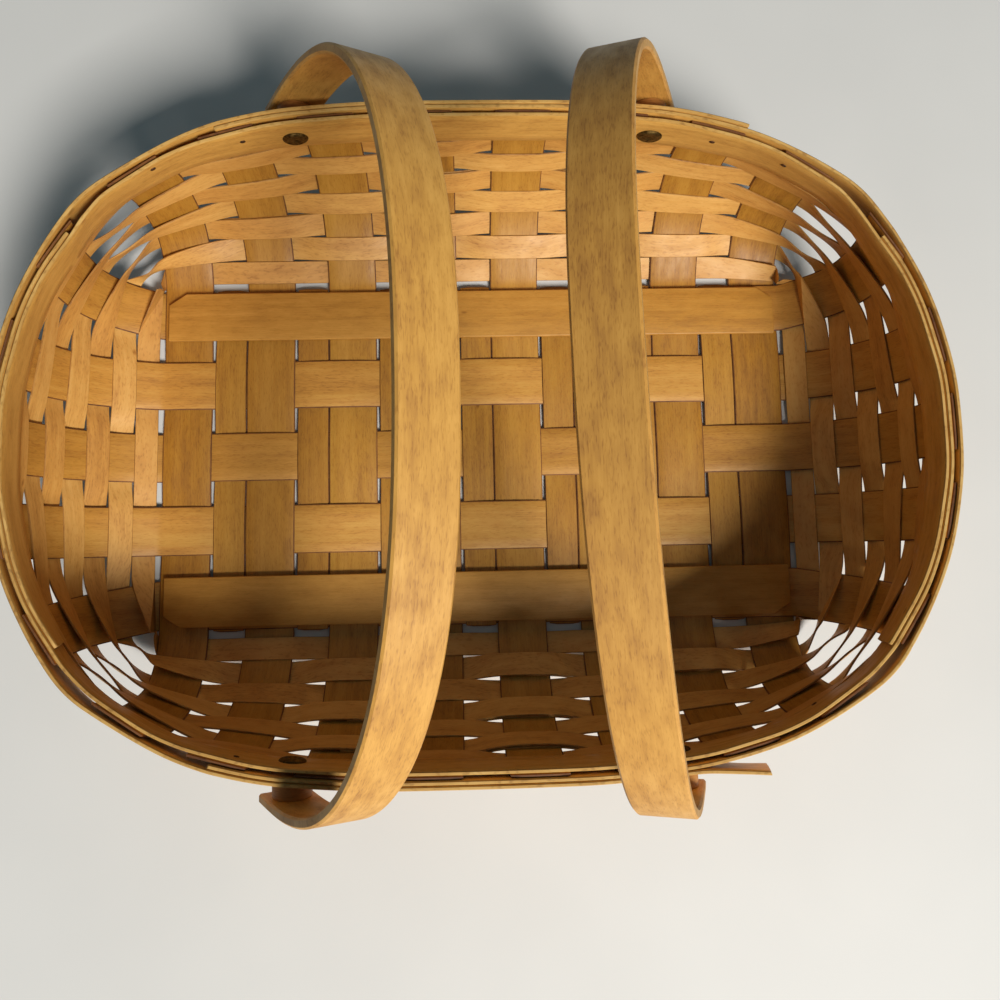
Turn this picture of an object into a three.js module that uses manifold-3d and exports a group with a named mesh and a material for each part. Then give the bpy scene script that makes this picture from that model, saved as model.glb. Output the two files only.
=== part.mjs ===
// Gathering basket: a shallow flared basket plaited from flat wood splints, bound by a
// double rim, with two arched handles that swing on rivets.
// Millimetres, +Z up, +X along the length, origin on the ground under the middle.
import * as THREE from 'three';
import { mergeVertices } from 'three/addons/utils/BufferGeometryUtils.js';
import Module from 'manifold-3d';

// Splints
const staveWidth = 25.4;
const staveThickness = 1.2;
const weaverThickness = 1;
const slack = 0.3;
const layerGap = (staveThickness + weaverThickness) / 2 + slack;

// Floor weave: crosswise staves pair up with a filler, lengthwise staves run through
const crosswiseCount = 8;
const crosswisePitch = 43.56;
const fillerWidth = 16.3;
const fillerGap = 0.35;
const fillerHalfLength = 90.6;
const lengthwiseCount = 5;
const lengthwisePitch = 38.35;
const floorLift = (staveThickness + slack) / 2;
const floorMiddle = floorLift + staveThickness / 2;

// Slats that stiffen the two long edges of the floor
const slatHalfLength = 162.3;
const slatInner = 62.2;
const slatOuter = 87.7;
const slatThickness = 2.5;
const slatCornerLong = 9;
const slatCornerAcross = 6;

// Walls: half sizes at the floor's edge and at the rim, and how the slope eases upright
const floorHalfLength = 167;
const floorHalfWidth = 92.9;
const rimHalfLength = 203.7;
const rimHalfWidth = 141.6;
const rimTop = 96.5;
const endBelly = 6;
const startSlope = THREE.MathUtils.degToRad(73);
const slopeEase = 1.6;
const rimLean = THREE.MathUtils.degToRad(6);

// Plan of the walls: an oval that is nearly a box at the floor, round half way up and
// squarer again at the rim
const wallEndSquareness = 2.65;
const shoulderEndSquareness = 3.7;
const rimEndSquareness = 3.4;
const sideSquareness = 2.07;
const floorSquareness = 30;
const floorSquareFade = 15;
const lowWallSquareness = 9.5;
const lowWallSquareFade = 3;
const squarerFrom = 0.4;
const squarerTo = 0.72;

// The outermost upright of each wall leans off its stave's line on the way up
const cornerCrosswise = 150;
const cornerLengthwise = 76;
const cornerStaveLean = 3.5;
const cornerStaveFan = 6.8;

// Weaver rows up the wall, and the rim that takes the last stretch of it
const rowCount = 7;
const rowPitch = 12.6;
const weaverWidth = 12.1;
const hoopWidth = 25.4;
const hoopThickness = 1.7;
const hoopGap = 0.3;
const rimSlack = 0.42;
const cornerStandOff = 1.2;
const cornerSpring = 1.7;
const leastBow = 0.2;
const hoopEndSpring = 4;
const layerFade = 4;
const wallLength = rowCount * rowPitch + hoopWidth;
const weaveFadeRows = 2;
const weaveEndsAtRow = 3;

// Twist of the weavers in the open corners of the wall
const sideTwist = 0.3;
const endTwist = 0.7;
const twistLean = THREE.MathUtils.degToRad(24);
const fullyTwisted = 0.25;
const roomAboveSlant = 0.52;
const roomOverSlant = 0.6;

// Laps of the weavers: how many uprights, and where the ends are cut across an upright
const lapUprights = 3;
const firstEndCut = 0.52;
const lastEndCut = 0.48;
const uprightShort = 1;
const lowestRowTrim = 0.8;

// Swing handles on their rivets
const pivotX = 81;
const pivotZ = 80.5;
const handleHalfSpan = 153.2;
const handleRise = 136;
const handleSquareness = 2.42;
const handleWidth = 21.6;
const handleThickness = 4;
const handleEdge = 0.8;
const handleTail = 12;
const handleStraight = 9;
const leftLean = 27.7;
const rightLean = 19.5;
const leftWarp = 0;
const rightWarp = 1.8;
const rivetHole = 2.2;
const holeSides = 10;
const shankRadius = 1.9;
const headRadius = 5.8;
const innerHeadHeight = 2;
const outerHeadHeight = 1.6;
const shankInHead = 0.6;
const headSides = 16;
const spacerRadius = 8.3;
const spacerSides = 24;

const ash = new THREE.MeshStandardMaterial({ color: 0xc98f45, roughness: 0.55, metalness: 0 });
const deepAsh = new THREE.MeshStandardMaterial({ color: 0xb5782f, roughness: 0.55, metalness: 0 });
const hoopAsh = new THREE.MeshStandardMaterial({ color: 0xc68a42, roughness: 0.5, metalness: 0 });
const handleAsh = new THREE.MeshStandardMaterial({ color: 0xdca55a, roughness: 0.45, metalness: 0 });
const brass = new THREE.MeshStandardMaterial({ color: 0x8d7346, roughness: 0.4, metalness: 1 });

const wasm = await Module();
wasm.setup();

const basket = new THREE.Group();

function addPiece(name, geometry, material, parent = basket) {
  const mesh = new THREE.Mesh(geometry, material);
  mesh.name = name;
  parent.add(mesh);
  return mesh;
}

// Closed solids for cutting and joining
function toSolid(geometry) {
  const bare = geometry.clone();
  bare.deleteAttribute('normal');
  bare.deleteAttribute('uv');
  const merged = mergeVertices(bare, 1e-4);
  return new wasm.Manifold(new wasm.Mesh({
    numProp: 3,
    vertProperties: new Float32Array(merged.attributes.position.array),
    triVerts: new Uint32Array(merged.index.array),
  }));
}

function toGeometry(solid) {
  const mesh = solid.getMesh();
  const geometry = new THREE.BufferGeometry();
  geometry.setAttribute('position', new THREE.BufferAttribute(mesh.vertProperties, 3));
  geometry.setIndex(new THREE.BufferAttribute(mesh.triVerts, 1));
  geometry.computeVertexNormals();
  return geometry;
}

// A closed bar through rings of corners, which run anticlockwise about the way it travels.
// A twisted strip folds along the same diagonal on both faces, so it keeps its thickness,
// and falling chooses the other diagonal, so that layers round the wall fold as staves do.
function loft(rings, falling = false) {
  const corners = rings[0].length;
  const last = (rings.length - 1) * corners;
  const index = [];
  for (let start = 0; start < last; start += corners) {
    for (let corner = 0; corner < corners; corner += 1) {
      const near = start + corner;
      const beside = start + ((corner + 1) % corners);
      if (corner < corners / 2 === falling) {
        index.push(near, beside, near + corners);
        index.push(beside, beside + corners, near + corners);
      } else {
        index.push(near, beside, beside + corners);
        index.push(near, beside + corners, near + corners);
      }
    }
  }
  for (let corner = 1; corner + 1 < corners; corner += 1) {
    index.push(0, corner + 1, corner);
    index.push(last, last + corner, last + corner + 1);
  }
  const geometry = new THREE.BufferGeometry();
  const positions = rings.flat().flatMap((point) => point.toArray());
  geometry.setAttribute('position', new THREE.Float32BufferAttribute(positions, 3));
  geometry.setIndex(index);
  geometry.computeVertexNormals();
  return geometry;
}

// The four corners of a flat strip between two edges, set off along its face normal
function stripRing(edgeA, edgeB, normal, offset, thickness) {
  const face = normal.clone().multiplyScalar(offset + thickness / 2);
  const back = normal.clone().multiplyScalar(offset - thickness / 2);
  return [
    edgeB.clone().add(face),
    edgeB.clone().add(back),
    edgeA.clone().add(back),
    edgeA.clone().add(face),
  ];
}

// Wall profile: reach and rise of the slope, from 0 at the floor's edge to 1 at the rim
const profileSteps = 120;
const profile = [{ reach: 0, rise: 0 }];
for (let step = 0; step < profileSteps; step += 1) {
  const level = (step + 0.5) / profileSteps;
  const slope = startSlope * (1 - level) ** slopeEase - rimLean * level ** 3;
  const below = profile[step];
  profile.push({ reach: below.reach + Math.sin(slope), rise: below.rise + Math.cos(slope) });
}

function wallProfile(level) {
  const place = Math.min(level * profileSteps, profileSteps - 1e-6);
  const below = profile[Math.floor(place)];
  const above = profile[Math.floor(place) + 1];
  const top = profile[profileSteps];
  const part = place - Math.floor(place);
  return {
    reach: THREE.MathUtils.lerp(below.reach, above.reach, part) / top.reach,
    rise: THREE.MathUtils.lerp(below.rise, above.rise, part) / top.rise,
  };
}

// Plan outline at a level: half length a, half width b and the powers p and q of the oval
function outline(level) {
  const { reach, rise } = wallProfile(level);
  const square = lowWallSquareness * (1 - level) ** lowWallSquareFade
    + floorSquareness * (1 - level) ** floorSquareFade;
  const belly = endBelly * 4 * level * (1 - level);
  const squarer = THREE.MathUtils.smoothstep(level, squarerFrom, squarerTo);
  const shoulder = THREE.MathUtils.lerp(wallEndSquareness, shoulderEndSquareness, squarer);
  const pastShoulder = Math.max(level - squarerTo, 0) / (1 - squarerTo);
  return {
    a: THREE.MathUtils.lerp(floorHalfLength, rimHalfLength, reach) + belly,
    b: THREE.MathUtils.lerp(floorHalfWidth, rimHalfWidth, reach),
    p: THREE.MathUtils.lerp(shoulder, rimEndSquareness, pastShoulder) + square,
    q: sideSquareness + square,
    z: THREE.MathUtils.lerp(floorMiddle, rimTop, rise),
  };
}

function outlinePoint(shape, angle) {
  const across = Math.abs(Math.cos(angle)) / shape.a;
  const along = Math.abs(Math.sin(angle)) / shape.b;
  let inside = 0;
  let outside = shape.a + shape.b;
  for (let halving = 0; halving < 40; halving += 1) {
    const radius = (inside + outside) / 2;
    if ((radius * across) ** shape.p + (radius * along) ** shape.q < 1) {
      inside = radius;
    } else {
      outside = radius;
    }
  }
  return new THREE.Vector3(inside * Math.cos(angle), inside * Math.sin(angle), shape.z);
}

// Angle of the outline point at a straight distance from another, turning one way
const widestStep = 0.6;
function stepAngle(shape, angle, distance, turn) {
  const from = outlinePoint(shape, angle);
  let near = 0;
  let far = widestStep;
  for (let halving = 0; halving < 34; halving += 1) {
    const middle = (near + far) / 2;
    if (outlinePoint(shape, angle + turn * middle).distanceTo(from) < distance) {
      near = middle;
    } else {
      far = middle;
    }
  }
  return angle + turn * near;
}

// Staves of the floor; over is true where the stave rides on top of the weave
const crosswise = [];
for (let place = 0; place < crosswiseCount; place += 1) {
  crosswise.push({ number: place + 1, middle: (place - (crosswiseCount - 1) / 2) * crosswisePitch });
}
const lengthwise = [];
for (let place = 0; place < lengthwiseCount; place += 1) {
  lengthwise.push({ number: place + 1, middle: ((lengthwiseCount - 1) / 2 - place) * lengthwisePitch });
}

function crosswiseIsOver(crossNumber, longNumber) {
  return (crossNumber + longNumber) % 2 === 0;
}

// Where each stave stands in the wall: side is +1 on the far or right wall, -1 opposite
function uprightCentre(upright, level, shape) {
  const { stave, side, runs } = upright;
  const outermost = Math.abs(stave.middle) > (runs === 'crosswise' ? cornerCrosswise : cornerLengthwise);
  if (runs === 'crosswise') {
    const lean = outermost ? -Math.sign(stave.middle) * cornerStaveLean * level : 0;
    const x = stave.middle + lean;
    const y = side * shape.b * (1 - Math.abs(x / shape.a) ** shape.p) ** (1 / shape.q);
    return Math.atan2(y, x);
  }
  const fan = outermost ? Math.sign(stave.middle) * cornerStaveFan * (1 - (1 - level) ** 3) : 0;
  const y = stave.middle + fan;
  const x = side * shape.a * (1 - Math.abs(y / shape.b) ** shape.q) ** (1 / shape.p);
  return Math.atan2(y, x);
}

// Edge angles of an upright at a level, in anticlockwise order
function uprightEdges(upright, level) {
  const shape = outline(level);
  const centre = uprightCentre(upright, level, shape);
  return {
    shape,
    first: stepAngle(shape, centre, staveWidth / 2, -1),
    second: stepAngle(shape, centre, staveWidth / 2, 1),
  };
}

// The ring of uprights, anticlockwise from the lowest stave of the right end
const uprights = [];
for (const stave of [...lengthwise].reverse()) {
  const over = !crosswiseIsOver(crosswiseCount, stave.number);
  uprights.push({ stave, side: 1, runs: 'lengthwise', over });
}
for (const stave of [...crosswise].reverse()) {
  uprights.push({ stave, side: 1, runs: 'crosswise', over: crosswiseIsOver(stave.number, 1) });
}
for (const stave of lengthwise) {
  uprights.push({ stave, side: -1, runs: 'lengthwise', over: !crosswiseIsOver(1, stave.number) });
}
for (const stave of crosswise) {
  const over = crosswiseIsOver(stave.number, lengthwiseCount);
  uprights.push({ stave, side: -1, runs: 'crosswise', over });
}

// The floor weave's rise and fall dies out over the first rows of the wall
function uprightOffset(upright, level) {
  const rows = (level * wallLength) / rowPitch;
  const fade = THREE.MathUtils.clamp((weaveEndsAtRow - rows) / weaveFadeRows, 0, 1);
  return (upright.over ? 1 : -1) * floorLift * fade;
}

// Rings of one upright from the floor's edge to just below the rim's top
const uprightTop = 1 - uprightShort / wallLength;
function uprightRings(upright) {
  const levels = [];
  for (let row = 0; row <= rowCount; row += 1) {
    levels.push((row * rowPitch) / wallLength);
  }
  levels.push(uprightTop);
  const edges = levels.map((level) => {
    const { shape, first, second } = uprightEdges(upright, level);
    return [outlinePoint(shape, first), outlinePoint(shape, second)];
  });
  return edges.map(([first, second], place) => {
    const under = edges[Math.max(place - 1, 0)];
    const above = edges[Math.min(place + 1, edges.length - 1)];
    const up = above[0].clone().add(above[1]).sub(under[0]).sub(under[1]);
    const normal = up.cross(second.clone().sub(first)).normalize();
    return { first, second, normal, offset: uprightOffset(upright, levels[place]) };
  });
}

function findUpright(stave, runs, side) {
  return uprights.find((one) => one.stave === stave && one.runs === runs && one.side === side);
}

// A whole stave: down one wall, through the floor weave and up the other wall
const up = new THREE.Vector3(0, 0, 1);
function staveGeometry(stave, runs) {
  const rings = [];
  const half = staveWidth / 2;
  const start = uprightRings(findUpright(stave, runs, -1)).reverse();
  const end = uprightRings(findUpright(stave, runs, 1));
  for (const { first, second, normal, offset } of start) {
    rings.push(stripRing(first, second, normal, offset, staveThickness));
  }
  if (runs === 'crosswise') {
    for (const band of [...lengthwise].reverse()) {
      const lift = crosswiseIsOver(stave.number, band.number) ? floorLift : -floorLift;
      for (const y of [band.middle - half, band.middle + half]) {
        const left = new THREE.Vector3(stave.middle - half, y, floorMiddle);
        const right = new THREE.Vector3(stave.middle + half, y, floorMiddle);
        rings.push(stripRing(left, right, up, lift, staveThickness));
      }
    }
  } else {
    for (const band of crosswise) {
      const lift = crosswiseIsOver(band.number, stave.number) ? -floorLift : floorLift;
      const filler = band.number > 1 ? fillerWidth + fillerGap : 0;
      for (const x of [band.middle - half - filler, band.middle + half]) {
        const far = new THREE.Vector3(x, stave.middle + half, floorMiddle);
        const near = new THREE.Vector3(x, stave.middle - half, floorMiddle);
        rings.push(stripRing(far, near, up, lift, staveThickness));
      }
    }
  }
  for (const { first, second, normal, offset } of end) {
    rings.push(stripRing(second, first, normal, offset, staveThickness));
  }
  return loft(rings);
}

for (const stave of crosswise) {
  addPiece(`crosswise_stave_${stave.number}`, staveGeometry(stave, 'crosswise'), ash);
}
for (const stave of lengthwise) {
  addPiece(`lengthwise_stave_${stave.number}`, staveGeometry(stave, 'lengthwise'), ash);
}

// Floor fillers close the gap on the left of each crosswise stave but the first
function fillerGeometry(stave) {
  const right = stave.middle - staveWidth / 2 - fillerGap;
  const left = right - fillerWidth;
  const rings = [];
  for (const band of [...lengthwise].reverse()) {
    const lift = crosswiseIsOver(stave.number, band.number) ? floorLift : -floorLift;
    let low = band.middle - staveWidth / 2;
    let high = band.middle + staveWidth / 2;
    if (band === lengthwise[lengthwiseCount - 1]) {
      low = -fillerHalfLength;
    }
    if (band === lengthwise[0]) {
      high = fillerHalfLength;
    }
    for (const y of [low, high]) {
      const edgeA = new THREE.Vector3(left, y, floorMiddle);
      const edgeB = new THREE.Vector3(right, y, floorMiddle);
      rings.push(stripRing(edgeA, edgeB, up, lift, staveThickness));
    }
  }
  return loft(rings);
}
for (const stave of crosswise.slice(1)) {
  addPiece(`floor_filler_${stave.number}`, fillerGeometry(stave), deepAsh);
}

// Slats lie on the weave along both long edges, with their corners cut off
function slatGeometry(side) {
  const shape = new THREE.Shape();
  shape.moveTo(-slatHalfLength, slatInner);
  shape.lineTo(slatHalfLength, slatInner);
  shape.lineTo(slatHalfLength, slatOuter - slatCornerAcross);
  shape.lineTo(slatHalfLength - slatCornerLong, slatOuter);
  shape.lineTo(slatCornerLong - slatHalfLength, slatOuter);
  shape.lineTo(-slatHalfLength, slatOuter - slatCornerAcross);
  const geometry = new THREE.ExtrudeGeometry(shape, { depth: slatThickness, bevelEnabled: false });
  geometry.translate(0, 0, 2 * floorMiddle + slack);
  if (side < 0) {
    geometry.rotateZ(Math.PI);
  }
  return geometry;
}
addPiece('floor_slat_far', slatGeometry(1), ash);
addPiece('floor_slat_near', slatGeometry(-1), ash);

// Where the wall turns, a layer is set off farther so that it keeps its thickness
const sharpestMitre = 0.8;

// A corner of the wall is the wide gap between the last uprights of two walls
function cornerAfter(place) {
  const next = (place + 1) % uprights.length;
  return uprights[place].runs !== uprights[next].runs;
}

// Stations round the wall between two levels: both edges of each upright and the gaps.
// Part counts from 0 to 1 across an upright and on to 2 across the gap that follows.
function ringStations(lowLevel, highLevel) {
  const lows = uprights.map((upright) => uprightEdges(upright, lowLevel));
  const highs = uprights.map((upright) => uprightEdges(upright, highLevel));
  const stations = [];
  const add = (lowAngle, highAngle, place, part) => {
    const low = outlinePoint(lows[0].shape, lowAngle);
    const high = outlinePoint(highs[0].shape, highAngle);
    stations.push({ low, high, middle: low.clone().add(high).multiplyScalar(0.5), place, part });
  };
  const wrap = (angle, from) => (angle < from - Math.PI ? angle + 2 * Math.PI : angle);
  uprights.forEach((upright, place) => {
    const next = (place + 1) % uprights.length;
    add(lows[place].first, highs[place].first, place, 0);
    add(lows[place].second, highs[place].second, place, 1);
    const lowNext = wrap(lows[next].first, lows[place].second);
    const highNext = wrap(highs[next].first, highs[place].second);
    for (const part of cornerAfter(place) ? [0.25, 0.5, 0.75] : [0.5]) {
      const lowAngle = THREE.MathUtils.lerp(lows[place].second, lowNext, part);
      const highAngle = THREE.MathUtils.lerp(highs[place].second, highNext, part);
      add(lowAngle, highAngle, place, 1 + part);
    }
  });
  stations.forEach((station, place) => {
    const before = stations[(place + stations.length - 1) % stations.length].middle;
    const after = stations[(place + 1) % stations.length].middle;
    const arrive = station.middle.clone().sub(before).normalize();
    const leave = after.clone().sub(station.middle).normalize();
    const rise = station.high.clone().sub(station.low);
    const spread = rise.clone().cross(leave).normalize();
    station.travel = arrive.add(leave).normalize();
    const normal = rise.clone().cross(station.travel).normalize();
    station.mitre = 1 / Math.max(normal.dot(spread), sharpestMitre);
    station.normal = normal.multiplyScalar(station.mitre);
  });
  return stations;
}

// How far a weaver stands on edge at a station, from 0 flat on the wall to 1 on edge. It
// twists in an open corner: it leaves the upright that it crosses in front of partly on
// edge, stands on edge beyond it and lies flat again where it goes behind the next one.
function edgeShare(station, isInFront) {
  const before = (station.place + uprights.length - 1) % uprights.length;
  const next = (station.place + 1) % uprights.length;
  const inGap = station.part > 1;
  const atCorner = cornerAfter(station.part < 1 ? before : station.place);
  const front = inGap && !isInFront(station.place) ? next : station.place;
  if (!atCorner || !isInFront(front)) {
    return 0;
  }
  const across = inGap ? station.part - 1 : 0;
  const fromFront = front === station.place ? across : 1 - across;
  const leaving = uprights[front].runs === 'crosswise' ? sideTwist : endTwist;
  const swell = Math.sin(Math.PI * fromFront);
  return fromFront < 0.5 ? THREE.MathUtils.lerp(leaving, 1, swell) : swell;
}

// One weaver row: in front of and behind the uprights by turns. Its two ends lap over a
// few uprights, the first end on the outside and the last end on the inside.
const lapStarts = [6, 21, 8, 19, 6, 20, 8];
function weaverGeometry(row) {
  const bottom = (row - 0.5) * rowPitch - weaverWidth / 2 + (row === 1 ? lowestRowTrim : 0);
  const top = (row - 0.5) * rowPitch + weaverWidth / 2;
  const level = (bottom + top) / 2 / wallLength;
  const stations = ringStations(bottom / wallLength, top / wallLength);
  const isInFront = (place) => uprights[place % uprights.length].over !== (row % 2 === 1);
  const first = isInFront(lapStarts[row - 1]) ? lapStarts[row - 1] : lapStarts[row - 1] + 1;
  const lap = row === 1 ? 0 : lapUprights;
  const lastTurn = uprights.length + lap;
  const ply = weaverThickness + slack;

  // Offset from the wall's middle where the row crosses an upright, turn uprights from its
  // first end; the lapping ends lie one ply apart
  const offsetOver = (turn) => {
    const place = (first + turn) % uprights.length;
    const front = isInFront(place);
    let shift = 0;
    if (lap > 0 && turn <= lap) {
      shift = front ? 0 : -ply;
    }
    if (lap > 0 && turn >= uprights.length) {
      shift = front ? ply : 0;
    }
    return uprightOffset(uprights[place], level) + (front ? layerGap : -layerGap) + shift;
  };

  // The low edge keeps to the wall. On edge, the row keeps below the next one, except low
  // on the wall, where the slope leaves it room to stand inside the next.
  const rings = [];
  const addRing = (station, turn) => {
    const across = Math.max(station.part - 1, 0);
    const offset = THREE.MathUtils.lerp(offsetOver(turn), offsetOver(turn + 1), across);
    const share = edgeShare(station, isInFront);
    const rise = station.high.clone().sub(station.low);
    const flatWidth = rise.length();
    const height = rise.z;
    const onEdge = station.normal.clone().setZ(0).setLength(Math.tan(twistLean)).add(up).normalize();
    rise.normalize().lerp(onEdge, share).normalize();
    const slant = station.normal.z / station.mitre;
    const room = THREE.MathUtils.clamp((slant - roomAboveSlant) / roomOverSlant, 0, 1);
    const belowNext = Math.min(height / rise.z, top - bottom);
    const edgeWidth = THREE.MathUtils.lerp(belowNext, top - bottom, room);
    const twisted = Math.min(share / fullyTwisted, 1);
    const width = THREE.MathUtils.lerp(flatWidth, edgeWidth, twisted);
    const low = station.low.clone().addScaledVector(station.normal, offset);
    const high = low.clone().addScaledVector(rise, width);
    const normal = rise.clone().cross(station.travel).setLength(station.mitre);
    rings.push(stripRing(low, high, normal, 0, weaverThickness));
  };

  // A cut end lies part of the way across its upright
  const addCut = (entry, exit, part, turn) => {
    const low = entry.low.clone().lerp(exit.low, part);
    const high = entry.high.clone().lerp(exit.high, part);
    const travel = exit.middle.clone().sub(entry.middle).normalize();
    const normal = high.clone().sub(low).cross(travel).normalize();
    addRing({ place: entry.place, part, low, high, travel, normal, mitre: 1 }, turn);
  };
  for (let turn = 0; turn <= lastTurn; turn += 1) {
    const place = (first + turn) % uprights.length;
    const own = stations.filter((station) => station.place === place);
    const [entry, exit] = own;
    if (turn === 0) {
      addCut(entry, exit, firstEndCut, turn);
      own.slice(1).forEach((station) => addRing(station, turn));
    } else if (turn === lastTurn) {
      addRing(entry, turn);
      addCut(entry, exit, lastEndCut, turn);
    } else {
      own.forEach((station) => addRing(station, turn));
    }
  }
  return loft(rings, true);
}
for (let row = 1; row <= rowCount; row += 1) {
  addPiece(`weaver_row_${row}`, weaverGeometry(row), row % 2 ? ash : deepAsh);
}

// Rim: half hoops inside and outside the uprights, in two layers where they lap. Each
// ends at a point of the plan.
const hoopEnds = {
  farStart: [172.9, -94.3],
  farEnd: [-173.7, -84.3],
  nearStart: [-179.6, 88.6],
  nearEnd: [182.6, 82.4],
  leftStart: [122.3, 135],
  leftEnd: [114.9, -139.9],
  rightStart: [-111.7, -135.5],
  rightEnd: [-112.6, 133],
};
const rim = ringStations(1 - (hoopWidth - hoopGap) / wallLength, 1);
for (const station of rim) {
  const before = (station.place + uprights.length - 1) % uprights.length;
  const inGap = station.part > 1;
  const atCorner = cornerAfter(station.part < 1 ? before : station.place);
  const swell = inGap ? Math.sin(Math.PI * (station.part - 1)) : 0;
  station.spring = atCorner ? THREE.MathUtils.lerp(cornerStandOff, cornerSpring, swell) : 0;
}

// Place on the rim, counted in stations, that is nearest to a point of the plan
function rimPlace(x, y) {
  const point = new THREE.Vector3(x, y, 0);
  let best = { distance: Infinity, place: 0 };
  rim.forEach((station, place) => {
    const from = station.middle.clone().setZ(0);
    const to = rim[(place + 1) % rim.length].middle.clone().setZ(0);
    const line = new THREE.Line3(from, to);
    const part = line.closestPointToPointParameter(point, true);
    const distance = line.at(part, new THREE.Vector3()).distanceTo(point);
    if (distance < best.distance) {
      best = { distance, place: place + part };
    }
  });
  return best.place;
}

function rimStation(place) {
  const from = rim[Math.floor(place) % rim.length];
  const to = rim[(Math.floor(place) + 1) % rim.length];
  const part = place - Math.floor(place);
  return {
    low: from.low.clone().lerp(to.low, part),
    high: from.high.clone().lerp(to.high, part),
    middle: from.middle.clone().lerp(to.middle, part),
    normal: from.normal.clone().lerp(to.normal, part),
    spring: THREE.MathUtils.lerp(from.spring, to.spring, part),
  };
}

// An outer hoop bows over a flat upright by as much as it turns from one edge to the other
for (let place = rim.length - 1; place >= 0; place -= 1) {
  if (rim[place].part === 0) {
    const entry = rim[place];
    const exit = rim[place + 1];
    const bow = entry.middle.distanceTo(exit.middle) * entry.travel.angleTo(exit.travel) / 8;
    if (bow > leastBow) {
      const between = rimStation(place + 0.5);
      between.spring += bow;
      rim.splice(place + 1, 0, between);
    }
  }
}

const firstLayer = (staveThickness + hoopThickness) / 2 + rimSlack;
const secondLayer = firstLayer + hoopThickness + slack;

// Every hoop has a station where any of them ends, so that the layers stay parallel
for (const [x, y] of Object.values(hoopEnds)) {
  const place = rimPlace(x, y);
  rim.splice(Math.ceil(place), 0, rimStation(place));
}
const endPlace = (name) => Math.round(rimPlace(...hoopEnds[name]));
const farHoop = { start: endPlace('farStart'), end: endPlace('farEnd') };
const nearHoop = { start: endPlace('nearStart'), end: endPlace('nearEnd') };
const leftHoop = { start: endPlace('leftStart'), end: endPlace('leftEnd') };
const rightHoop = { start: endPlace('rightStart'), end: endPlace('rightEnd') };

// Turns from one place round to another, always forward
function turnsForward(from, to) {
  return (to - from + 2 * rim.length) % rim.length;
}

// Offset of a hoop that laps over another: the second layer along it, then back against
// the uprights over the next few stations past its ends
function lappingLayer(place, under) {
  const past = turnsForward(under.end, place);
  const before = turnsForward(place, under.start);
  const lapped = past > turnsForward(under.end, under.start);
  const share = lapped ? 0 : Math.min(past, before, layerFade) / layerFade;
  return THREE.MathUtils.lerp(secondLayer, firstLayer, share);
}

// A half hoop; layerAt gives its offset from the wall's middle at a place round the rim
function hoopGeometry(hoop, layerAt) {
  const rings = [];
  for (let turns = 0; turns <= turnsForward(hoop.start, hoop.end); turns += 1) {
    const place = hoop.start + turns;
    const { low, high, normal, spring } = rimStation(place);
    rings.push(stripRing(low, high, normal, layerAt(place % rim.length, spring), hoopThickness));
  }
  return loft(rings, true);
}

// The left outer hoop laps over the right one along both sides, and its near end stands off
function leftHoopLayer(place, spring) {
  const freeEnd = place === leftHoop.end ? hoopEndSpring : 0;
  return -lappingLayer(place, rightHoop) - spring - freeEnd;
}

// Rivet holes run across the basket through the rim, the spacers and the handle legs
function rodAcross(radius, x, z, fromY, toY, sides) {
  const geometry = new THREE.CylinderGeometry(radius, radius, toY - fromY, sides);
  geometry.translate(x, (fromY + toY) / 2, z);
  return geometry;
}

function pierced(geometry, x, z) {
  const reach = handleHalfSpan + handleThickness;
  const hole = toSolid(rodAcross(rivetHole, x, z, -reach, reach, holeSides));
  return toGeometry(toSolid(geometry).subtract(hole));
}

function rimPiece(name, geometry) {
  const left = pierced(geometry, -pivotX, pivotZ);
  addPiece(name, pierced(left, pivotX, pivotZ), hoopAsh);
}
rimPiece('inner_hoop_far', hoopGeometry(farHoop, (place) => lappingLayer(place, nearHoop)));
rimPiece('inner_hoop_near', hoopGeometry(nearHoop, () => firstLayer));
rimPiece('outer_hoop_left', hoopGeometry(leftHoop, leftHoopLayer));
rimPiece('outer_hoop_right', hoopGeometry(rightHoop, (place, spring) => -firstLayer - spring));

// Point of the rim's middle and its inward normal where a rivet passes
function rivetSeat(x, side) {
  const { low, high, normal } = rimStation(rimPlace(x, side * rimHalfWidth));
  const part = (pivotZ - low.z) / (high.z - low.z);
  const seat = low.lerp(high, part);
  seat.y += ((x - seat.x) * normal.x) / -normal.y;
  seat.x = x;
  return { seat, normal: normal.normalize() };
}

// Wedge-shaped wooden spacer between the outer hoop and a handle leg
const legFace = handleHalfSpan - handleThickness / 2;
const legBack = handleHalfSpan + handleThickness / 2;
function spacerGeometry(x, side) {
  const { seat, normal } = rivetSeat(x, side);
  const faceOffset = secondLayer + hoopThickness / 2 + slack;
  const face = seat.clone().addScaledVector(normal, -faceOffset);
  const geometry = rodAcross(spacerRadius, x, pivotZ, 0, legFace - slack, spacerSides);
  if (side < 0) {
    geometry.rotateX(Math.PI);
    geometry.translate(0, 0, 2 * pivotZ);
  }
  const position = geometry.attributes.position;
  for (let place = 0; place < position.count; place += 1) {
    if (Math.abs(position.getY(place)) < 1) {
      const across = position.getX(place) - face.x;
      const above = position.getZ(place) - face.z;
      position.setY(place, face.y - (across * normal.x + above * normal.z) / normal.y);
    }
  }
  return pierced(geometry, x, pivotZ);
}

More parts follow.
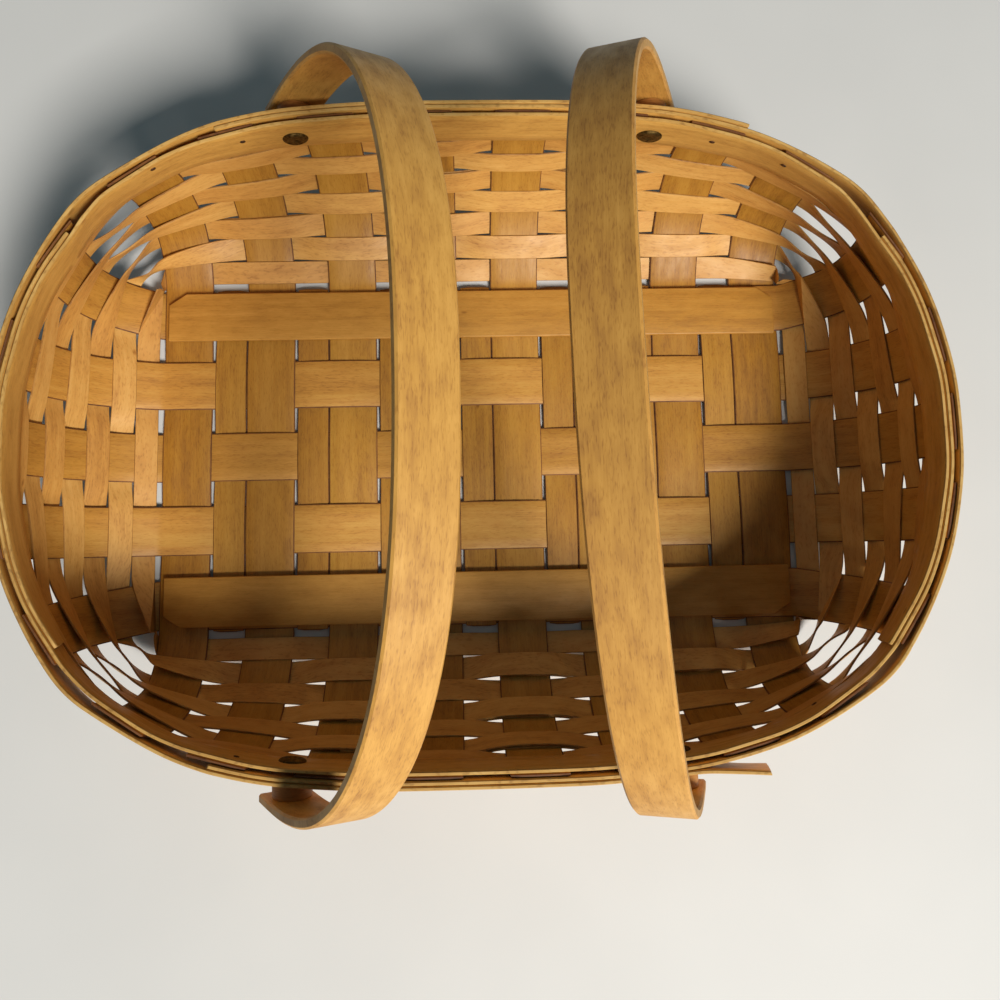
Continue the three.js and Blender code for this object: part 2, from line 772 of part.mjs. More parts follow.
// Rivet: a dimpled head flush on the inner hoop, a straight shank and a domed outer head
const dimpledHead = [[0, 0], [1, 0], [1, 0.3], [0.82, 0.8], [0.5, 1], [0.2, 0.9], [0, 0.55]];
const domedHead = [[0, 0], [1, 0], [0.95, 0.4], [0.6, 0.85], [0, 1]];
function headGeometry(profilePoints, height, direction, seat) {
  const turned = profilePoints.map(([across, along]) => (
    new THREE.Vector2(across * headRadius, along * height)
  ));
  const geometry = new THREE.LatheGeometry(turned, headSides);
  const turnedAbout = new THREE.Vector3(0, 1, 0);
  geometry.applyQuaternion(new THREE.Quaternion().setFromUnitVectors(turnedAbout, direction));
  geometry.translate(seat.x, seat.y, seat.z);
  return geometry;
}

function rivetGeometry(x, side) {
  const { seat, normal } = rivetSeat(x, side);
  const inner = seat.clone().addScaledVector(normal, firstLayer + hoopThickness / 2 + slack);
  const outer = new THREE.Vector3(x, side * (legBack + slack), pivotZ);
  const outward = new THREE.Vector3(0, side, 0);
  const ends = [inner.y - side * shankInHead, outer.y + side * shankInHead];
  const shank = rodAcross(shankRadius, x, pivotZ, Math.min(...ends), Math.max(...ends), holeSides);
  const innerHead = headGeometry(dimpledHead, innerHeadHeight, normal, inner);
  const outerHead = headGeometry(domedHead, outerHeadHeight, outward, outer);
  return toGeometry(toSolid(shank).add(toSolid(innerHead)).add(toSolid(outerHead)));
}

for (const [end, x] of [['left', -pivotX], ['right', pivotX]]) {
  for (const [wall, side] of [['far', 1], ['near', -1]]) {
    addPiece(`spacer_${end}_${wall}`, spacerGeometry(x, side), deepAsh);
    addPiece(`rivet_${end}_${wall}`, rivetGeometry(x, side), brass);
  }
}

// Swing handle: a bent flat bar with eased edges, its legs hanging just past the rivets. A
// warped one leans by some degrees more at its far leg and less at its near leg.
function handleGeometry(warp) {
  const path = [];
  const shear = Math.tan(THREE.MathUtils.degToRad(warp)) / handleHalfSpan;
  const addPoint = (y, z) => path.push(new THREE.Vector3(-shear * y * z, y, z));
  addPoint(-handleHalfSpan, -handleTail);
  addPoint(-handleHalfSpan, handleStraight);
  const steps = 28;
  for (let step = 1; step < steps; step += 1) {
    const angle = (Math.PI * step) / steps;
    const across = Math.sign(-Math.cos(angle)) * Math.abs(Math.cos(angle)) ** (2 / handleSquareness);
    addPoint(handleHalfSpan * across, handleRise * Math.sin(angle) ** (2 / handleSquareness));
  }
  addPoint(handleHalfSpan, handleStraight);
  addPoint(handleHalfSpan, -handleTail);
  const halfWidth = handleWidth / 2;
  const halfDepth = handleThickness / 2;
  const corners = [
    [halfWidth, halfDepth - handleEdge],
    [halfWidth - handleEdge, halfDepth],
    [handleEdge - halfWidth, halfDepth],
    [-halfWidth, halfDepth - handleEdge],
    [-halfWidth, handleEdge - halfDepth],
    [handleEdge - halfWidth, -halfDepth],
    [halfWidth - handleEdge, -halfDepth],
    [halfWidth, handleEdge - halfDepth],
  ];
  const acrossBar = new THREE.Vector3(1, 0, 0);
  const rings = path.map((point, place) => {
    const before = path[Math.max(place - 1, 0)];
    const after = path[Math.min(place + 1, path.length - 1)];
    const travel = after.clone().sub(before).normalize();
    const inward = travel.clone().cross(acrossBar);
    return corners.map(([wide, deep]) => point.clone().addScaledVector(acrossBar, wide)
      .addScaledVector(inward, deep));
  });
  return pierced(loft(rings), 0, 0);
}

const handles = [
  { name: 'left_handle', x: -pivotX, lean: leftLean, warp: leftWarp },
  { name: 'right_handle', x: pivotX, lean: -rightLean, warp: rightWarp },
];
for (const { name, x, lean, warp } of handles) {
  const swing = new THREE.Group();
  swing.position.set(x, 0, pivotZ);
  swing.rotation.y = THREE.MathUtils.degToRad(lean);
  addPiece(name, handleGeometry(warp), handleAsh, swing);
  basket.add(swing);
}

export default basket;
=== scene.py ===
# A gathering basket plaited from flat ash splints, with a double rim and two swing handles.
import math

import bpy
from mathutils import Matrix, Vector


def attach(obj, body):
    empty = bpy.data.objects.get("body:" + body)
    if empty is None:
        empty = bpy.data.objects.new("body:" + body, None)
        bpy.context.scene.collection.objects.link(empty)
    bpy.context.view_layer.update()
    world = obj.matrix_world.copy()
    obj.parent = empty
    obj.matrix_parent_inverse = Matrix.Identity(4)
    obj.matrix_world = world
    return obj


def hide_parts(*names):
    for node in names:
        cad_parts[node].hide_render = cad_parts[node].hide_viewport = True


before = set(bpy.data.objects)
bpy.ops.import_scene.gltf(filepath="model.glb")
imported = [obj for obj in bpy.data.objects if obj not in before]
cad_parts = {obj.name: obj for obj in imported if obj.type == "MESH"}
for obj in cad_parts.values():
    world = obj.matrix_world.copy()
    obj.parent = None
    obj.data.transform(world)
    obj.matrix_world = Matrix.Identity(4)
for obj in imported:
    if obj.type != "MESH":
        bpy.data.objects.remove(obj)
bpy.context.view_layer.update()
scene = bpy.context.scene
MM = 0.001  # in metres, as the frame is

# Camera
# The photograph looks almost straight down from about 45 cm, a little from the near side.
# The lens and its shift come from the perspective of the weave.
camera_place = Vector((-7.455, -48.474, 449.573)) * MM
camera_right = Vector((0.99941319, -0.02107746, 0.02700017))
camera_up = Vector((0.01788078, 0.99336516, 0.11360427))
camera_back = camera_right.cross(camera_up)
camera_data = bpy.data.cameras.new("camera")
camera_data.sensor_width = 36.0
camera_data.lens = 30.485
camera_data.shift_x = 0.0125
camera_data.shift_y = -0.052
camera_data.clip_start = 0.01
camera = bpy.data.objects.new("camera", camera_data)
scene.collection.objects.link(camera)
camera.matrix_world = Matrix((
    (camera_right.x, camera_up.x, camera_back.x, camera_place.x),
    (camera_right.y, camera_up.y, camera_back.y, camera_place.y),
    (camera_right.z, camera_up.z, camera_back.z, camera_place.z),
    (0, 0, 0, 1),
))
scene.camera = camera

# Crosswise staves
# Eight wide ash splints run across the floor and up both long walls. Each was sliced from a
# soaked billet, stained, and bent so that it turns up out of the floor in one soft curve.


def linear(hex_colour):
    """sRGB hex to a linear colour with alpha."""
    channels = [int(hex_colour[i:i + 2], 16) / 255 for i in (1, 3, 5)]
    straight = [c / 12.92 if c <= 0.04045 else ((c + 0.055) / 1.055) ** 2.4 for c in channels]
    return (*straight, 1.0)


def add_node(tree, kind, settings=None, **inputs):
    """Adds a node; an input, by its name or as _ and its number, is a value or an output."""
    node = tree.nodes.new(kind)
    for key, value in (settings or {}).items():
        setattr(node, key, value)
    for key, value in inputs.items():
        socket = node.inputs[int(key[1:]) if key[1:].isdigit() else key.replace("_", " ")]
        if isinstance(value, bpy.types.NodeSocket):
            tree.links.new(value, socket)
        else:
            socket.default_value = value
    return node


def empty_material(name):
    material = bpy.data.materials.new(name)
    material.use_nodes = True
    material.node_tree.nodes.clear()
    return material


# Sliced ash splint, wiped with a honey stain: slow bands along the grain, a soft mottle where
# the knife lifted the fibres, short dark pores and now and then a pin knot. Satin, not glossy.
def ash_wood(name, pale, middle, dark, across, turn=0.0, seed=0.0, gloss=0.52, pores=0.12,
             knots=0.3, figure=0.32):
    """Ash in three stains. Its grain runs square to the axis named by across.

    The turn about Y, in radians, sets a leaning piece upright for that.
    """
    material = empty_material(name)
    tree = material.node_tree
    place = add_node(tree, "ShaderNodeTexCoord").outputs["Object"]
    level = add_node(tree, "ShaderNodeMapping", Vector=place, Rotation=(0, turn, 0)).outputs[0]

    def along_grain(size, length, offset):
        """Place stretched so that a pattern is length mm long for each size mm across."""
        stretch = [size / length] * 3
        stretch["XYZ".index(across)] = 1.0
        return add_node(tree, "ShaderNodeMapping", Vector=level,
                        Location=(offset, seed, offset + seed), Scale=stretch).outputs[0]

    def grain(size, length, detail, offset):
        """Noise of a size in mm across the grain and a length in mm along it."""
        noise = add_node(tree, "ShaderNodeTexNoise", Vector=along_grain(size, length, offset),
                         Scale=1 / (size * MM), Detail=detail, Roughness=0.55)
        return noise.outputs["Fac"]

    def tinted(value, low, high, at_low, at_high):
        """A value between low and high, turned to a shade between at_low and at_high."""
        return add_node(tree, "ShaderNodeMapRange", Value=value, _1=low, _2=high,
                        _3=at_low, _4=at_high).outputs[0]

    slow = grain(20.0, 420.0, 1.0, 0.31)
    bands = grain(3.4, 95.0, 2.0, 0.0)
    mottle = grain(4.5, 13.0, 2.0, 0.19)
    fibres = grain(0.7, 16.0, 2.0, 0.57)
    dashes = grain(0.45, 2.8, 1.0, 0.83)
    lengthwise = add_node(tree, "ShaderNodeMix", Factor=0.42, A=slow, B=bands).outputs[0]
    mixed = add_node(tree, "ShaderNodeMix", Factor=figure, A=lengthwise, B=mottle).outputs[0]
    cells = add_node(tree, "ShaderNodeTexVoronoi", Vector=along_grain(17.0, 34.0, 0.47),
                     Scale=1 / (17.0 * MM))
    has_knot = tinted(cells.outputs["Color"], 0.61, 0.62, 0.0, knots)
    knot = add_node(tree, "ShaderNodeMath", {"operation": "MULTIPLY"},
                    _0=tinted(cells.outputs["Distance"], 0.025, 0.07, 1.0, 0.0),
                    _1=has_knot).outputs[0]
    tone = add_node(tree, "ShaderNodeMath", {"operation": "ADD"},
                    _0=mixed, _1=tinted(fibres, 0.3, 0.7, -0.05, 0.05)).outputs[0]
    for mark in (tinted(dashes, 0.54, 0.68, 0.0, pores), knot):
        tone = add_node(tree, "ShaderNodeMath", {"operation": "SUBTRACT"},
                        _0=tone, _1=mark).outputs[0]
    pore_brown = [c * share for c, share in zip(linear(dark), (0.42, 0.34, 0.2, 1))]
    ramp = add_node(tree, "ShaderNodeValToRGB", Fac=tone)
    ramp.color_ramp.elements[0].position = 0.02
    ramp.color_ramp.elements[0].color = pore_brown
    ramp.color_ramp.elements[1].position = 0.66
    ramp.color_ramp.elements[1].color = linear(pale)
    for position, stain in ((0.3, dark), (0.48, middle)):
        between = ramp.color_ramp.elements.new(position)
        between.color = linear(stain)
    bump = add_node(tree, "ShaderNodeBump", Height=fibres, Strength=0.3, Distance=0.1 * MM)
    shader = add_node(tree, "ShaderNodeBsdfPrincipled", Base_Color=ramp.outputs["Color"],
                      Roughness=tinted(mottle, 0.3, 0.7, gloss + 0.08, gloss - 0.06),
                      Normal=bump.outputs[0], IOR=1.5)
    add_node(tree, "ShaderNodeOutputMaterial", Surface=shader.outputs[0])
    return material


def only(piece):
    """Selects one piece and makes it active."""
    bpy.ops.object.select_all(action="DESELECT")
    piece.select_set(True)
    bpy.context.view_layer.objects.active = piece


def merged_copy(node_name, piece_name, bend=60):
    """A copy of a plain solid, merged and turned back into faces of four sides.

    Two triangles become one face where they bend by less than so many degrees.
    """
    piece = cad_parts[node_name].copy()
    piece.data = piece.data.copy()
    piece.data.name = piece_name
    piece.name = piece_name
    piece.parent = None
    for key in list(piece.keys()):
        del piece[key]
    piece.data.materials.clear()
    scene.collection.objects.link(piece)
    only(piece)
    bpy.ops.mesh.customdata_custom_splitnormals_clear()
    bpy.ops.object.mode_set(mode="EDIT")
    bpy.ops.mesh.select_all(action="SELECT")
    bpy.ops.mesh.remove_doubles(threshold=0.001 * MM)
    bpy.ops.mesh.tris_convert_to_quads(face_threshold=math.radians(bend),
                                       shape_threshold=math.radians(80))
    bpy.ops.object.mode_set(mode="OBJECT")
    return piece


def smooth_by_angle(piece, degrees=38):
    """Shades a piece smooth, apart from edges that bend by more than so many degrees."""
    only(piece)
    bpy.ops.object.shade_smooth_by_angle(angle=math.radians(degrees))


def smooth_bends(piece, sharp, crease):
    """Creases the arrises sharper than so many degrees and rounds the bends between them."""
    only(piece)
    bpy.ops.object.mode_set(mode="EDIT")
    bpy.ops.mesh.select_mode(type="EDGE")
    bpy.ops.mesh.select_all(action="DESELECT")
    bpy.ops.mesh.edges_select_sharp(sharpness=math.radians(sharp))
    bpy.ops.transform.edge_crease(value=crease)
    bpy.ops.object.mode_set(mode="OBJECT")
    bends = piece.modifiers.new("bends", "SUBSURF")
    bends.levels = bends.render_levels = 2
    bpy.ops.object.modifier_apply(modifier=bends.name)
    smooth_by_angle(piece)


def finish_splint(piece, face, edge):
    """Gives a splint its face and edge materials and smooths its bends.

    A face that runs on into others only over short edges is part of the narrow cut edge.
    """
    runs_on = 0.64  # cosine of about 50 degrees
    short = 4 * MM
    piece.data.materials.append(face)
    piece.data.materials.append(edge)
    mesh = piece.data
    sides = {}
    for polygon in mesh.polygons:
        for key in polygon.edge_keys:
            sides.setdefault(key, []).append(polygon.normal)
    for polygon in mesh.polygons:
        soft = [key for key in polygon.edge_keys if sides[key][0].dot(sides[key][-1]) > runs_on]
        lengths = [(mesh.vertices[a].co - mesh.vertices[b].co).length for a, b in soft]
        polygon.material_index = 1 if not lengths or max(lengths) < short else 0
    smooth_bends(piece, sharp=50, crease=0.93)


def dress(piece, node_name, body):
    """Puts a piece on its body in place of a plain solid."""
    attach(piece, body)
    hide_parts(node_name)


# Sliced edge of a splint, where the stain soaked in, painted darker still as shade for the gaps
# between splints: it reads as a thin dark line
stain_and_shade_edge = ash_wood("stain_and_painted_shade_ash_edge", "#845420", "#693E16", "#4A280C", "Z",
                     seed=3.0, gloss=0.7)
# Stained ash in three shades that take turns, since the splints come from several billets
# Painted shade: all three are darker than the weavers, standing for the shade on the uprights
# recessed behind the weavers
crosswise_ash_and_shade = [
    ash_wood(f"stained_ash_crosswise_painted_shade_{n + 1}", pale, middle, dark, "X", seed=0.37 * n)
    for n, (pale, middle, dark) in enumerate([
        ("#BC8B38", "#AE7C2B", "#96641E"),
        ("#B38231", "#A57224", "#8C5C1A"),
        ("#B88634", "#AA7728", "#92611C"),
    ])
]
for number in range(1, 9):
    stave = merged_copy(f"crosswise_stave_{number}", f"crosswise_splint_{number}")
    finish_splint(stave, crosswise_ash_and_shade[number % 3], stain_and_shade_edge)
    dress(stave, f"crosswise_stave_{number}", "basket")

# Lengthwise staves
# Five splints of the same width run the long way, woven over and under the crosswise ones,
# and turn up into the two rounded end walls.

# Stained ash, a little paler than the crosswise staves, in two shades
lengthwise_ash = [
    ash_wood(f"stained_ash_lengthwise_{n + 1}", pale, middle, dark, "Y", seed=1.0 + 0.37 * n)
    for n, (pale, middle, dark) in enumerate([
        ("#CC9B4B", "#BF893A", "#A4702C"),
        ("#C48F40", "#B58133", "#9D6825"),
    ])
]
for number in range(1, 6):
    stave = merged_copy(f"lengthwise_stave_{number}", f"lengthwise_splint_{number}")
    finish_splint(stave, lengthwise_ash[number % 2], stain_and_shade_edge)
    dress(stave, f"lengthwise_stave_{number}", "basket")

# Floor fillers
# Narrower splints lie between the crosswise staves and close the floor. They are cut off at
# the floor's edge and only held by the weave.
for number in range(2, 9):
    filler = merged_copy(f"floor_filler_{number}", f"floor_filler_splint_{number}")
    finish_splint(filler, crosswise_ash_and_shade[(number + 1) % 3], stain_and_shade_edge)
    dress(filler, f"floor_filler_{number}", "basket")

# Floor slats
# Two thin sawn boards stiffen the long edges of the floor. Their outer corners are cut off
# and their arrises lightly sanded.


def ease_arrises(piece, width, segments):
    """Rounds all arrises of a piece by a width in mm."""
    only(piece)
    arris = piece.modifiers.new("arris", "BEVEL")
    arris.width = width * MM
    arris.segments = segments
    bpy.ops.object.modifier_apply(modifier=arris.name)
    smooth_by_angle(piece)


# Sanded ash board: closer, straighter grain than a splint, with a few pin knots
slat_ash = ash_wood("sanded_ash_slat", "#C59142", "#B68234", "#9F6D27", "Y", seed=2.4, pores=0.08)
for side in ("far", "near"):
    slat = merged_copy(f"floor_slat_{side}", f"floor_slat_board_{side}")
    slat.data.materials.append(slat_ash)
    ease_arrises(slat, width=0.5, segments=3)
    dress(slat, f"floor_slat_{side}", "basket")

# Weaver rows
# Seven narrow splints go once round the wall each, over one upright and under the next, and
# lap over themselves. In the open corners they turn on edge.

# Stained ash, the palest on the basket, in two shades
weaver_ash = [
    ash_wood(f"stained_ash_weaver_{n + 1}", pale, middle, dark, "Z", seed=4.0 + 0.41 * n)
    for n, (pale, middle, dark) in enumerate([
        ("#DBAC62", "#CE9B50", "#B6813E"),
        ("#D3A257", "#C79147", "#AD7837"),
    ])
]
# Clean sliced edge that catches the light
weaver_edge = ash_wood("sliced_ash_edge", "#B78A44", "#A17131", "#7D5320", "Z",
                       seed=3.4, gloss=0.62)
for row in range(1, 8):
    weaver = merged_copy(f"weaver_row_{row}", f"weaver_splint_{row}")
    finish_splint(weaver, weaver_ash[row % 2], weaver_edge)
    dress(weaver, f"weaver_row_{row}", "basket")

# Rim hoops
# Four half hoops of thicker ash clamp the uprights from inside and outside. Their ends lap
# over each other, and the outer ones spring away from the corners.

# Stained ash, thicker and planed, so it is a little glossier than the splints
hoop_ash = ash_wood("stained_ash_hoop", "#D9AA5B", "#CB9A4B", "#AF7D39", "Z",
                    seed=5.0, gloss=0.48, knots=0.4)
# Sawn edge: the saw left pale torn fibres between dark stained ones
hoop_edge = ash_wood("sawn_ash_hoop_edge", "#D2AC66", "#BD924B", "#9B7136", "Z",
                     seed=6.0, gloss=0.7, pores=0.14)
# The rivets stand so many mm to either side of the middle and above the ground
pivot_x = 81.0
pivot_z = 80.5


def close_rivet_holes(piece, across=(-pivot_x, pivot_x)):
    """Rivets hide their holes, so each hole is closed to leave four-sided faces."""
    past_hole = 2.6  # mm from the axis, just beyond the rim of a hole
    only(piece)
    bpy.ops.object.mode_set(mode="EDIT")
    bpy.ops.mesh.select_mode(type="VERT")
    bpy.ops.mesh.select_all(action="DESELECT")
    bpy.ops.object.mode_set(mode="OBJECT")
    for vertex in piece.data.vertices:
        for x in across:
            if math.hypot(vertex.co.x - x * MM, vertex.co.z - pivot_z * MM) < past_hole * MM:
                vertex.select = True
    bpy.ops.object.mode_set(mode="EDIT")
    bpy.ops.mesh.delete(type="VERT")
    bpy.ops.mesh.select_mode(type="EDGE")
    bpy.ops.mesh.select_non_manifold()
    bpy.ops.mesh.fill_holes(sides=12)
    bpy.ops.object.mode_set(mode="OBJECT")


# The near end of the left outer hoop is free past the rivet. It stays straight while the rim
# curves away behind it, and is cut at a slant. Each line shifts what lies between two x and
# below a z, all in mm.
free_end = (
    (92, 104, 200, (0, -2.2, 0)),
    (104, 112, 200, (0, -5.9, 0)),
    (112, 120, 200, (0, -3.8, 0)),
    (112, 120, 85, (7, 0.6, 0)),
)
hoops = {}
for ring, half in (("inner", "far"), ("inner", "near"), ("outer", "left"), ("outer", "right")):
    name = f"{ring}_hoop_{half}"
    hoop = merged_copy(name, f"{ring}_hoop_band_{half}")
    close_rivet_holes(hoop)
    if name == "outer_hoop_left":
        only(hoop)
        for low, high, bottom, shift in free_end:
            bpy.ops.object.mode_set(mode="EDIT")
            bpy.ops.mesh.select_mode(type="VERT")
            bpy.ops.mesh.select_all(action="DESELECT")
            bpy.ops.object.mode_set(mode="OBJECT")
            for vertex in hoop.data.vertices:
                x, y, z = vertex.co / MM
                vertex.select = y < 0 and low < x < high and z < bottom
            bpy.ops.object.mode_set(mode="EDIT")
            bpy.ops.transform.translate(value=Vector(shift) * MM)
            bpy.ops.object.mode_set(mode="OBJECT")
    finish_splint(hoop, hoop_ash, hoop_edge)
    dress(hoop, name, "basket")
    hoops[name] = hoop

# Handles
# Two thick ash bars, steamed and bent into arches with eased edges. Their legs hang outside
# the rim and turn on the rivets.
# Degrees from upright at which the photograph shows them
handle_leans = {"left": 27.7, "right": -19.5}
# The right handle's stains are a little darker: painted shade, since that handle leans away from
# the lamp
handle_stains_and_shade = {
    "left": ("#D29F4F", "#C39042", "#A97735"),
    "right": ("#CD994A", "#BD893D", "#A37131"),
}
for side, x in (("left", -pivot_x), ("right", pivot_x)):
    turn = math.radians(handle_leans[side])
    # Scraped bent ash: the scraper opened the pores, so it is full of short dark flecks
    handle_ash = ash_wood(f"steamed_ash_handle_{side}", *handle_stains_and_shade[side], "X", turn=-turn,
                          seed=8.0 + x * MM, gloss=0.56, pores=0.13, knots=0.0, figure=0.55)
    # Its narrow sides, a little darker: painted shade for the sides, which stand in shade
    handle_side_shade = ash_wood(f"ash_handle_edge_painted_shade_{side}", "#C4974E", "#B4863F", "#9A6C30",
                           "X", turn=-turn, seed=7.0 + x * MM, gloss=0.6, knots=0.0)
    handle = merged_copy(f"{side}_handle", f"{side}_bent_handle", bend=35)
    close_rivet_holes(handle, across=(x,))
    handle.data.materials.append(handle_ash)
    handle.data.materials.append(handle_side_shade)
    sideways = Vector((math.cos(turn), 0, -math.sin(turn)))
    for polygon in handle.data.polygons:
        faces_sideways = abs(polygon.normal.dot(sideways)) > 0.9
        polygon.material_index = 1 if faces_sideways else 0
    smooth_bends(handle, sharp=30, crease=1.0)
    dress(handle, f"{side}_handle", f"{side}_handle")

# Spacers
# A turned wooden washer between the outer hoop and each handle leg keeps the leg clear of
# the rim. Its inner end is cut to the slope of the hoop.

# Turned ash, end grain outwards: darker where the stain soaked in
spacer_ash = ash_wood("turned_ash_spacer", "#AF7B3B", "#9C682E", "#794A1D", "Y",
                      seed=9.0, gloss=0.6, knots=0.0)
for end in ("left", "right"):
    for wall in ("far", "near"):
        spacer = merged_copy(f"spacer_{end}_{wall}", f"wooden_spacer_{end}_{wall}")
        spacer.data.materials.append(spacer_ash)
        ease_arrises(spacer, width=0.35, segments=2)
        dress(spacer, f"spacer_{end}_{wall}", "basket")

# Rivets
# Each handle leg turns on a brass rivet through the rim: a head with a pressed dimple on the
# inner hoop, a plain shank, and a low domed head outside the leg.


def turned(name, rings, sides=40):
    """A solid turned about Z; each ring is its radius and its height in mm."""
    bpy.ops.object.select_all(action="DESELECT")
    radius, height = rings[0]
    bpy.ops.mesh.primitive_circle_add(vertices=sides, radius=radius * MM, fill_type="NGON",
                                      location=(0, 0, height * MM))
    piece = bpy.context.active_object
    piece.name = name
    bpy.ops.object.transform_apply(location=True, rotation=True, scale=True)
    bpy.ops.object.mode_set(mode="EDIT")
    bpy.ops.mesh.select_all(action="SELECT")
    for next_radius, next_height in rings[1:]:
        rise = (0, 0, (next_height - height) * MM)
        bpy.ops.mesh.extrude_region_move(TRANSFORM_OT_translate={"value": rise})
        share = next_radius / radius
        bpy.ops.transform.resize(value=(share, share, 1), center_override=(0, 0, next_height * MM))
        radius, height = next_radius, next_height
    bpy.ops.mesh.select_all(action="SELECT")
    bpy.ops.mesh.normals_make_consistent(inside=False)
    bpy.ops.object.mode_set(mode="OBJECT")
    smooth_by_angle(piece, degrees=40)
    return piece


def set_down(piece, place, direction):
    """Moves a turned solid to its place with its Z along the direction."""
    only(piece)
    piece.location = place
    piece.rotation_mode = "QUATERNION"
    piece.rotation_quaternion = Vector(direction).to_track_quat("Z", "Y")
    bpy.ops.object.transform_apply(location=True, rotation=True, scale=True)


# Antique brass: pressed sheet that has browned, darker in blotches
old_brass = empty_material("antique_brass")
brass_tree = old_brass.node_tree
brass_place = add_node(brass_tree, "ShaderNodeTexCoord").outputs["Object"]
patina = add_node(brass_tree, "ShaderNodeTexNoise", Vector=brass_place,
                  Scale=1 / (1.6 * MM), Detail=3.0)
scratches = add_node(brass_tree, "ShaderNodeTexNoise", Vector=brass_place,
                     Scale=1 / (0.35 * MM), Detail=2.0)
brass_ramp = add_node(brass_tree, "ShaderNodeValToRGB", Fac=patina.outputs["Fac"])
brass_ramp.color_ramp.elements[0].position = 0.38
brass_ramp.color_ramp.elements[0].color = linear("#4A391E")
brass_ramp.color_ramp.elements[1].position = 0.68
brass_ramp.color_ramp.elements[1].color = linear("#7C6438")
brass_rough = add_node(brass_tree, "ShaderNodeMapRange", Value=scratches.outputs["Fac"],
                       _1=0.3, _2=0.7, _3=0.5, _4=0.68)
brass_bump = add_node(brass_tree, "ShaderNodeBump", Height=scratches.outputs["Fac"],
                      Strength=0.25, Distance=0.05 * MM)
brass_shader = add_node(brass_tree, "ShaderNodeBsdfPrincipled", Metallic=1.0,
                        Base_Color=brass_ramp.outputs["Color"],
                        Roughness=brass_rough.outputs[0], Normal=brass_bump.outputs[0])
add_node(brass_tree, "ShaderNodeOutputMaterial", Surface=brass_shader.outputs[0])

# Half profiles of the two heads, from the outer edge to the middle
dimpled_head = [
    (5.75, 0.02), (5.8, 0.25), (5.7, 0.55), (5.3, 0.95), (4.7, 1.3), (4.2, 1.45), (3.9, 1.42),
    (3.7, 1.3), (3.1, 1.38), (2.5, 1.5), (2.0, 1.5), (1.6, 1.3), (1.1, 0.95), (0.6, 0.8),
    (0.2, 0.75),
]
domed_head = [
    (5.75, 0.02), (5.8, 0.25), (5.5, 0.7), (4.6, 1.1), (3.2, 1.4), (1.6, 1.55), (0.3, 1.6),
]
shank_radius = 1.9
into_head = 0.4  # how far the shank runs into either head
leg_back = 155.5  # outer face of the handle legs
for end, x in (("left", -pivot_x), ("right", pivot_x)):
    for wall, side in (("far", 1), ("near", -1)):
        outward = Vector((0, side, 0))
        mid_axis = Vector((x, 0, pivot_z)) * MM
        _, seat, inward, _ = hoops[f"inner_hoop_{wall}"].ray_cast(mid_axis, outward)
        inner = turned(f"rivet_{end}_{wall}_brass", dimpled_head)
        set_down(inner, seat, inward)
        reach = leg_back + into_head - abs(seat.y) / MM
        shank = turned("shank", [(shank_radius, -into_head), (shank_radius, reach)], sides=24)
        set_down(shank, seat, outward)
        outer = turned("outer_head", domed_head)
        set_down(outer, Vector((x, side * leg_back, pivot_z)) * MM, outward)
        only(inner)
        shank.select_set(True)
        outer.select_set(True)
        bpy.ops.object.join()
        inner.data.materials.append(old_brass)
        dress(inner, f"rivet_{end}_{wall}", "basket")

# Tacks
# Small blued iron tacks hold the lapped ends of the inner hoops to the uprights; only their
# low heads show on the inner face.

# Blued iron: nearly black, browned where it has rusted a little
tack_iron = empty_material("blued_iron_tack")
tack_tree = tack_iron.node_tree
tack_place = add_node(tack_tree, "ShaderNodeTexCoord").outputs["Object"]
rust = add_node(tack_tree, "ShaderNodeTexNoise", Vector=tack_place,
                Scale=1 / (0.8 * MM), Detail=2.0)
tack_ramp = add_node(tack_tree, "ShaderNodeValToRGB", Fac=rust.outputs["Fac"])
tack_ramp.color_ramp.elements[0].position = 0.4
tack_ramp.color_ramp.elements[0].color = linear("#3A2B20")
tack_ramp.color_ramp.elements[1].position = 0.65
tack_ramp.color_ramp.elements[1].color = linear("#5E3A20")
tack_shader = add_node(tack_tree, "ShaderNodeBsdfPrincipled", Base_Color=tack_ramp.outputs["Color"],
                       Roughness=0.6, Metallic=0.5)
add_node(tack_tree, "ShaderNodeOutputMaterial", Surface=tack_shader.outputs[0])

tack_head = [(1.1, -0.3), (1.3, 0.05), (1.2, 0.25), (0.8, 0.4), (0.2, 0.46)]
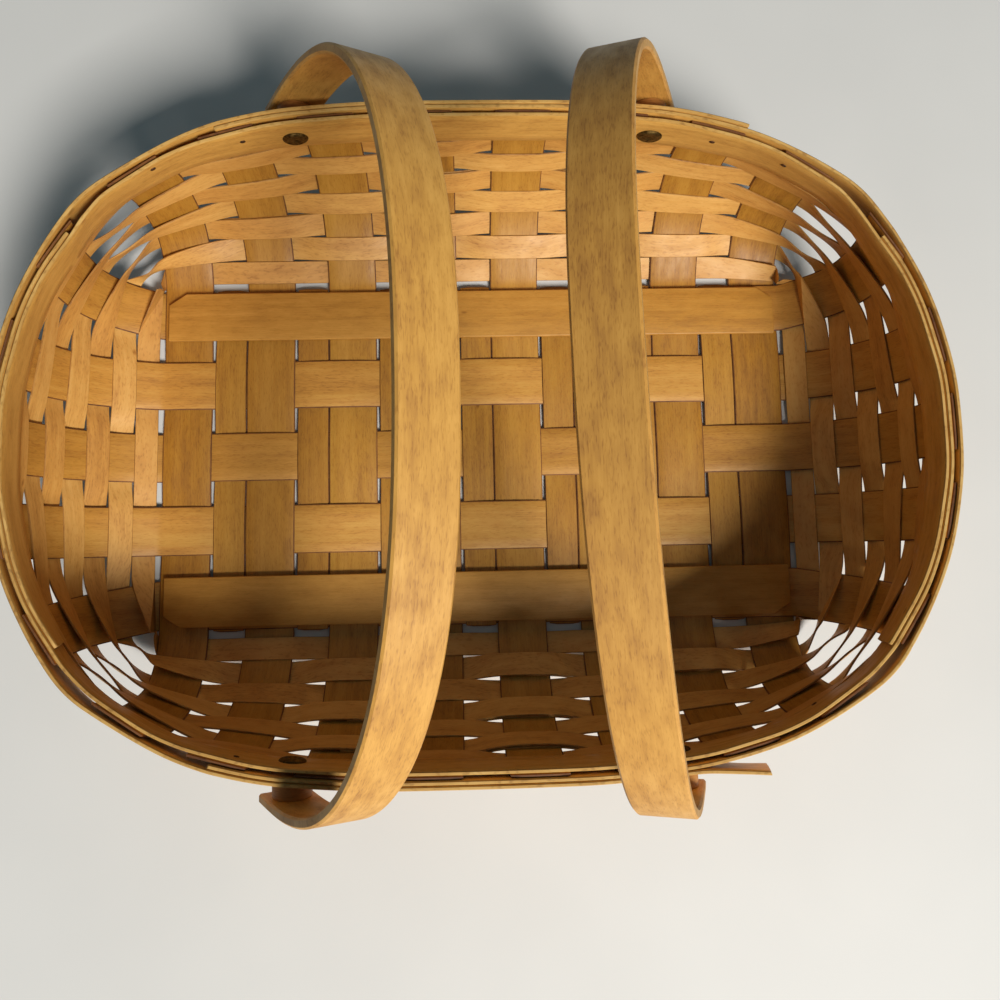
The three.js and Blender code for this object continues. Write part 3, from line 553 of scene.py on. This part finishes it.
# Where the photograph shows tacks: x, y and z in mm
tack_places = {
    "far": (
        (-140.8, 117.9, 91.2), (-103.2, 132.5, 86.3), (108.5, 131.5, 85.0), (140.4, 119.6, 86.4),
    ),
    "near": ((-102.4, -132.7, 88.4), (142.9, -120.3, 75.9)),
}
for wall, places in tack_places.items():
    hoop = hoops[f"inner_hoop_{wall}"]
    for x, y, z in places:
        outward = Vector((x, y, 0)).normalized()
        inside = Vector((x * 0.8, y * 0.8, z)) * MM
        _, seat, inward, _ = hoop.ray_cast(inside, outward)
        tack = turned("tack", tack_head, sides=20)
        set_down(tack, seat, inward)
        tack.data.materials.append(tack_iron)
        only(hoop)
        tack.select_set(True)
        bpy.ops.object.join()

# Floor and light
# The basket stands on a pale painted board. One soft warm lamp from the near right gives the
# shadows, and the cool room light fills them.

# Painted board: matt and nearly even, with faint clouds left by the brush
floor_paint = empty_material("pale_painted_board")
floor_tree = floor_paint.node_tree
floor_place = add_node(floor_tree, "ShaderNodeTexCoord").outputs["Object"]
clouds = add_node(floor_tree, "ShaderNodeTexNoise", Vector=floor_place,
                  Scale=1 / (90 * MM), Detail=2.0)
floor_ramp = add_node(floor_tree, "ShaderNodeValToRGB", Fac=clouds.outputs["Fac"])
floor_ramp.color_ramp.elements[0].color = linear("#CCCCCA")
floor_ramp.color_ramp.elements[1].color = linear("#D5D5D3")
floor_shader = add_node(floor_tree, "ShaderNodeBsdfPrincipled", Roughness=0.65,
                        Base_Color=floor_ramp.outputs["Color"])
add_node(floor_tree, "ShaderNodeOutputMaterial", Surface=floor_shader.outputs[0])
# The board lies just under the lowest splints, so that no two faces share a plane
bpy.ops.mesh.primitive_plane_add(size=8, location=(0, 0, -0.6 * MM))
floor = bpy.context.active_object
floor.name = "floor"
floor.data.materials.append(floor_paint)

world = bpy.data.worlds.new("studio")
scene.world = world
world.use_nodes = True
room_light = world.node_tree.nodes["Background"]
room_light.inputs["Color"].default_value = (0.62, 0.88, 1.0, 1)
room_light.inputs["Strength"].default_value = 0.125

# The lamp is 0.85 m square and some 3 m away
key_light = bpy.data.lights.new("key", "AREA")
key_light.energy = 120.0
key_light.size = 0.85
key_light.color = (1.0, 0.955, 0.895)
key = bpy.data.objects.new("key", key_light)
key.location = (0.96, -1.8, 2.26)
aim = Vector((0, 0, 0.02))
key.rotation_euler = (aim - key.location).to_track_quat("-Z", "Y").to_euler()
scene.collection.objects.link(key)
scene.view_settings.view_transform = "Standard"
